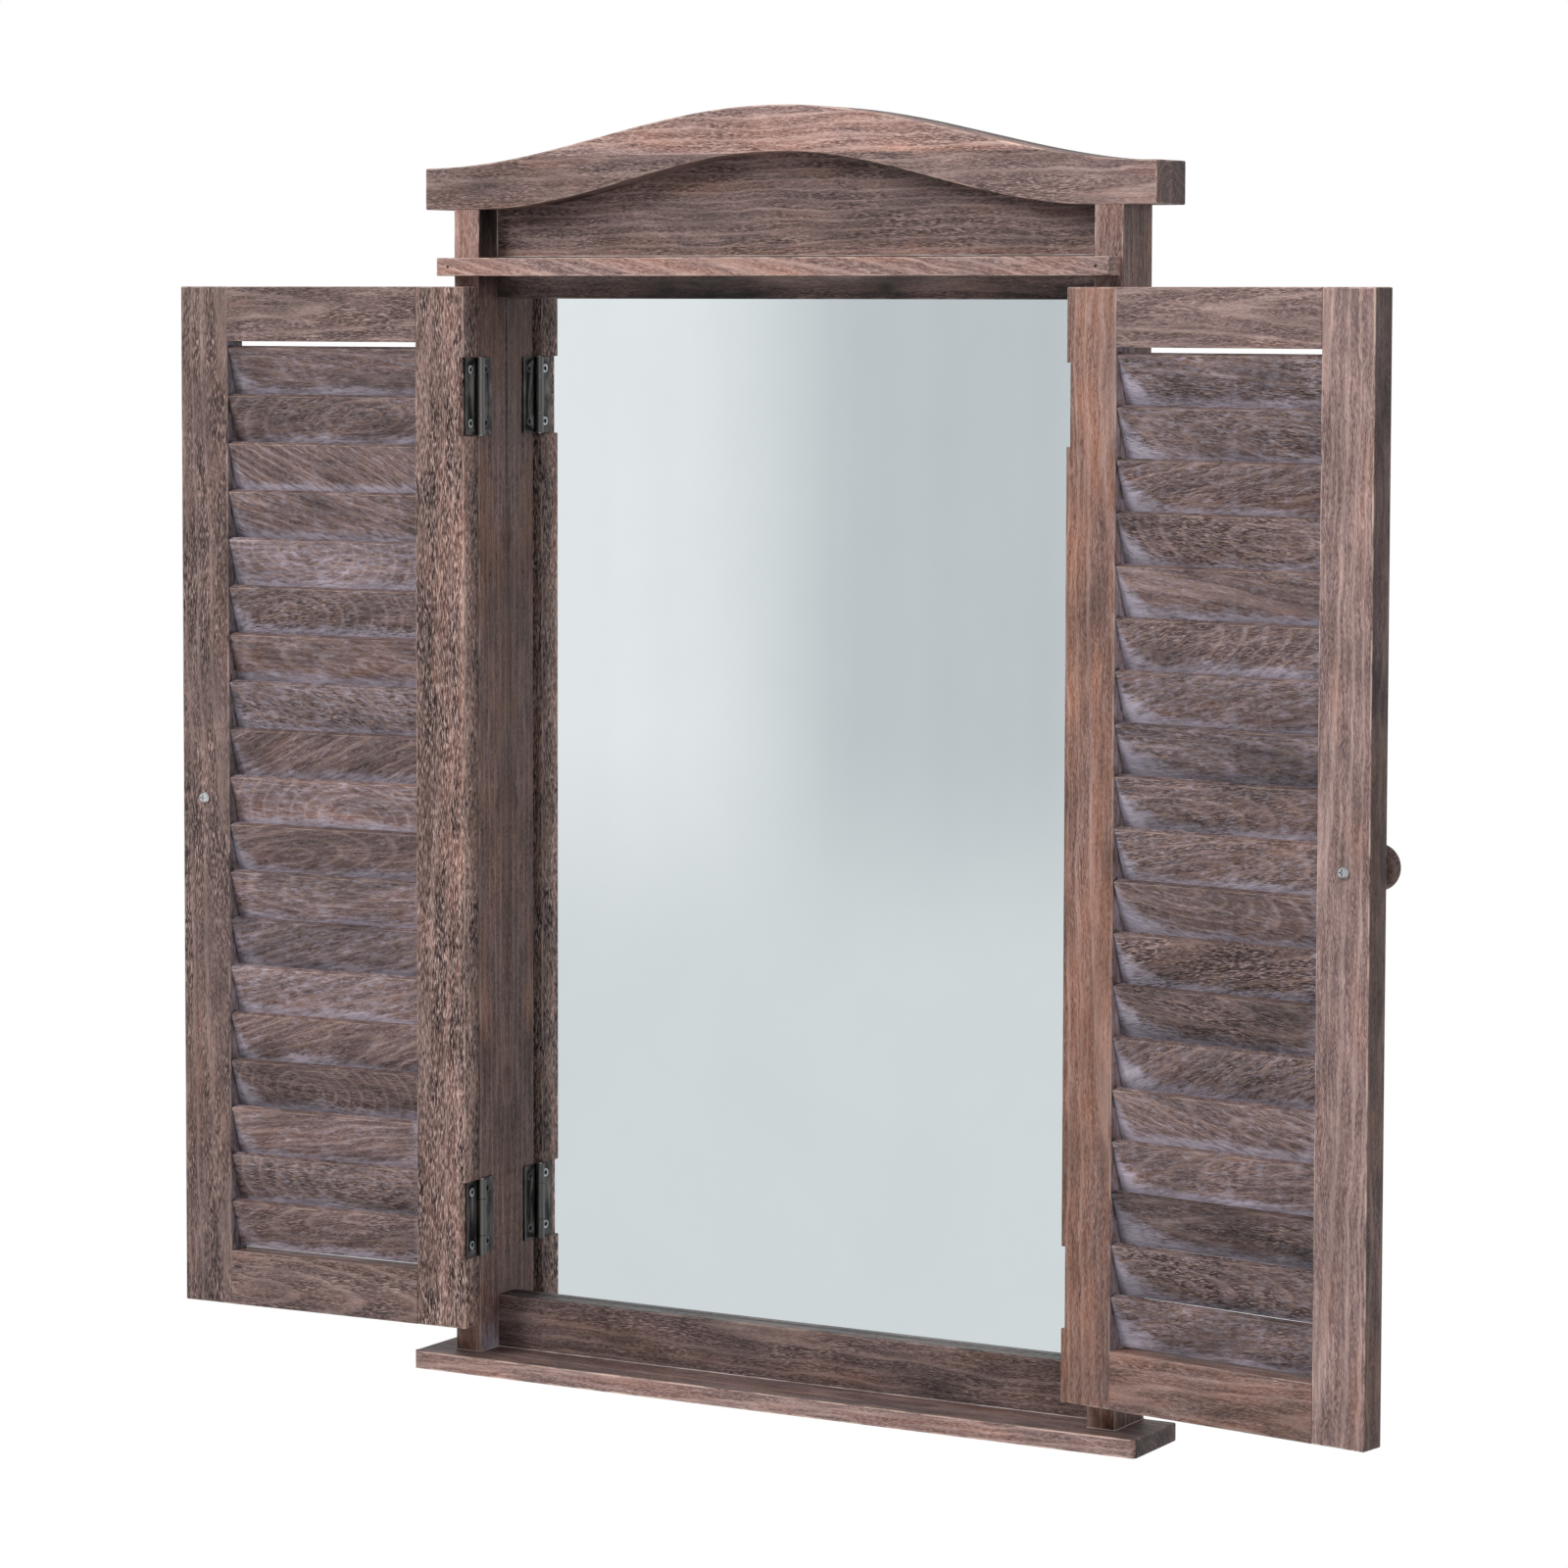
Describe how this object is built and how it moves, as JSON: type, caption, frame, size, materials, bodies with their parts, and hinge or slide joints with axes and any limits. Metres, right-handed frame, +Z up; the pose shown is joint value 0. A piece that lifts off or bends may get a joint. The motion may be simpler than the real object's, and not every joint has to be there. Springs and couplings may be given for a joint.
{
  "type": "wall mirror with shutters",
  "caption": "Wall mirror in an arched, window-style wooden frame with a sill, and a pair of louvred shutters that swing on butt hinges.",
  "frame": {"origin": "on the wall plane, halfway between the round holes of the two hanger plates", "axes": "+X to the right seen from the front, +Y back into the wall, +Z up"},
  "size_m": [0.7506, 0.0858, 0.71],
  "materials": {
    "wood_upright": "brushed and stained, matt, grain upright",
    "wood_level": "brushed and stained, matt, grain level",
    "wood_dark": "dark stain, satin",
    "wood_pale": "pale stain, matt",
    "backing": "bare hardboard",
    "mirror": "silvered glass",
    "hinge_metal": "antique dark steel, worn bright on the knuckles",
    "zinc": "zinc plated"
  },
  "bodies": {
    "frame": {"left_post": "wood_upright", "right_post": "wood_upright", "sill": "wood_level", "bottom_rail": "wood_level", "header_rail": "wood_level", "pediment_panel": "wood_level", "crown_front_board": "wood_level", "crown_back_board": "wood_dark", "front_strip": "wood_pale", "mirror_glass": "mirror", "backing_board": "backing", "glazing_pins": "zinc", "strip_brads": "zinc", "crown_nails": "zinc", "sill_screws": "zinc", "left_hanger": "zinc", "right_hanger": "zinc", "hanger_screws": "zinc", "left_upper_post_leaf": "hinge_metal", "left_upper_pin": "hinge_metal", "left_lower_post_leaf": "hinge_metal", "left_lower_pin": "hinge_metal", "left_post_leaf_screws": "zinc", "right_upper_post_leaf": "hinge_metal", "right_upper_pin": "hinge_metal", "right_lower_post_leaf": "hinge_metal", "right_lower_pin": "hinge_metal", "right_post_leaf_screws": "zinc"},
    "left_shutter": {"left_hinge_stile": "wood_upright", "left_free_stile": "wood_upright", "left_top_rail": "wood_level", "left_bottom_rail": "wood_level", "left_slats": "wood_level", "left_knob": "wood_dark", "left_knob_screw": "zinc", "left_upper_shutter_leaf": "hinge_metal", "left_lower_shutter_leaf": "hinge_metal", "left_shutter_leaf_screws": "zinc"},
    "right_shutter": {"right_hinge_stile": "wood_upright", "right_free_stile": "wood_upright", "right_top_rail": "wood_level", "right_bottom_rail": "wood_level", "right_slats": "wood_level", "right_knob": "wood_dark", "right_knob_screw": "zinc", "right_upper_shutter_leaf": "hinge_metal", "right_lower_shutter_leaf": "hinge_metal", "right_shutter_leaf_screws": "zinc"}
  },
  "joints": [
    {"name": "left_shutter_hinge", "type": "hinge", "parent": "frame", "child": "left_shutter", "pos_m": [-0.1888, -0.0375, 0], "axis": [0, 0, 1], "range_deg": [-2.5, 177.5]},
    {"name": "right_shutter_hinge", "type": "hinge", "parent": "frame", "child": "right_shutter", "pos_m": [0.1888, -0.0375, 0], "axis": [0, 0, 1], "range_deg": [-171, 9]}
  ]
}
